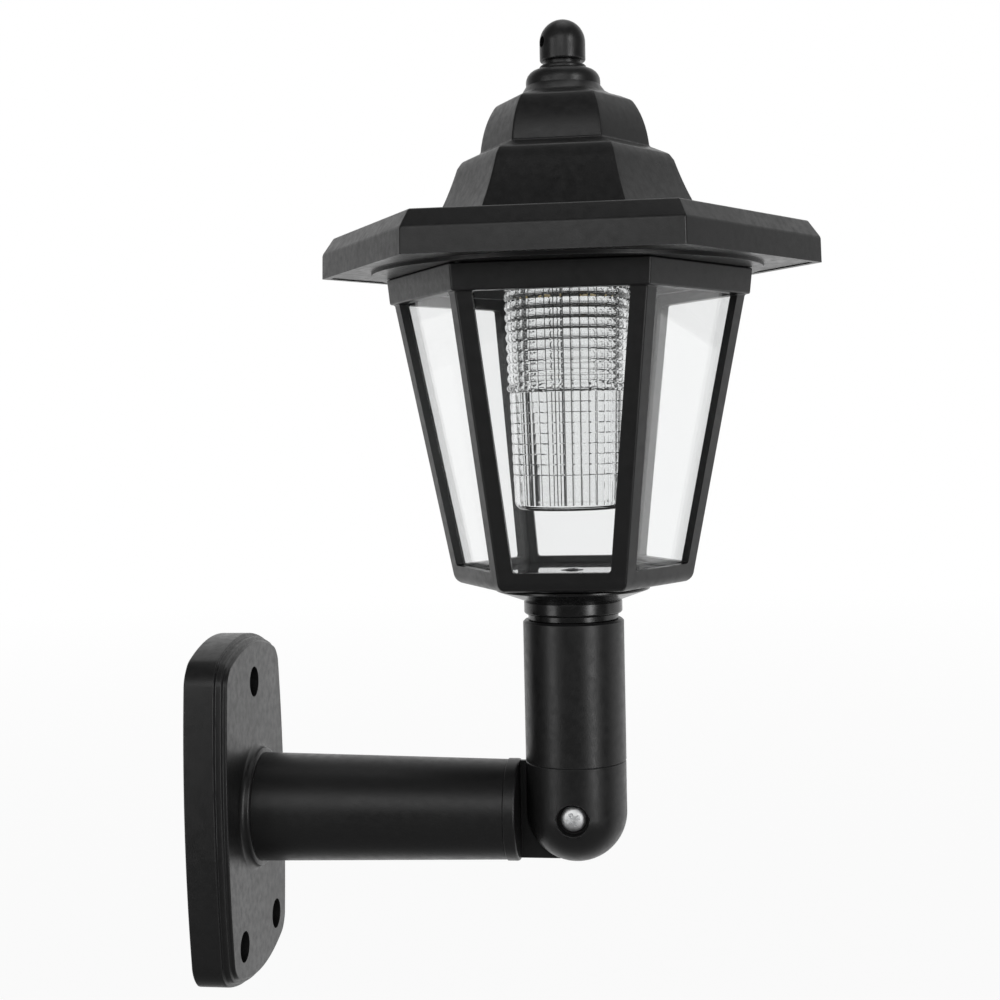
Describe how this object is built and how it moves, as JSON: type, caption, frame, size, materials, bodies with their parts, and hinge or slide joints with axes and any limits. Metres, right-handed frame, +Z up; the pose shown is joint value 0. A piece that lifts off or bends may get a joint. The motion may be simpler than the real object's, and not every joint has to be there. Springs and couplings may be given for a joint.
{
  "type": "outdoor wall lantern",
  "caption": "Hexagonal solar coach lantern with clear panes and a prismatic lamp cup, on a jointed arm and an oblong wall plate.",
  "frame": {"origin": "the wall plate's back face, on the arm's axis: the middle of the plate", "axes": "+X out of the wall along the arm, +Z up, +Y to the right of someone who faces the wall"},
  "size_m": [0.185, 0.1282, 0.2864],
  "materials": {
    "black_plastic": "satin moulded",
    "gloss_black_plastic": "smooth moulded",
    "clear_pane": "clear moulded polystyrene",
    "zinc_steel": "zinc plated",
    "black_steel": "black oxide",
    "solar_cell": "resin over dark cells",
    "circuit_board": "white solder mask",
    "lamp_resin": "clear resin over amber phosphor",
    "component_body": "moulded",
    "battery_sleeve": "shrink sleeve over steel"
  },
  "bodies": {
    "bracket": {"wall_plate": "black_plastic", "arm_tube": "black_plastic", "arm_screws": "zinc_steel", "arm_knuckle": "black_plastic", "pivot_screw": "zinc_steel", "pivot_nut": "zinc_steel"},
    "post": {"post_knuckle": "black_plastic", "post_tube": "black_plastic"},
    "lantern": {"neck_adapter": "gloss_black_plastic", "neck_screw": "black_steel", "lantern_frame": "black_plastic", "clear_liner": "clear_pane", "lock_ring": "black_plastic"},
    "roof": {"roof_shell": "black_plastic", "solar_panels": "solar_cell", "finial": "black_plastic", "finial_nut": "zinc_steel", "base_plate": "black_plastic", "base_plate_screws": "zinc_steel", "diffuser_cup": "clear_pane", "led_board": "circuit_board", "board_screws": "zinc_steel", "leds": "lamp_resin", "board_components": "component_body", "battery_cradle": "black_plastic", "cradle_screws": "zinc_steel", "battery": "battery_sleeve", "battery_contact": "zinc_steel", "battery_spring": "zinc_steel", "switch_body": "component_body"},
    "switch": {"switch_slider": "black_plastic"}
  },
  "joints": [
    {"name": "elbow_tilt", "type": "hinge", "parent": "bracket", "child": "post", "pos_m": [0.111, 0, 0], "axis": [0, 1, 0], "range_deg": [0, 180]},
    {"name": "lantern_turn", "type": "hinge", "parent": "post", "child": "lantern", "pos_m": [0.111, 0, 0.0575], "axis": [0, 0, 1], "continuous": true},
    {"name": "roof_turn", "type": "hinge", "parent": "lantern", "child": "roof", "pos_m": [0.111, 0, 0.1595], "axis": [0, 0, 1], "range_deg": [0, 18]},
    {"name": "switch_slide", "type": "slide", "parent": "roof", "child": "switch", "axis": [1, 0, 0], "range_m": [0, 0.002]}
  ]
}
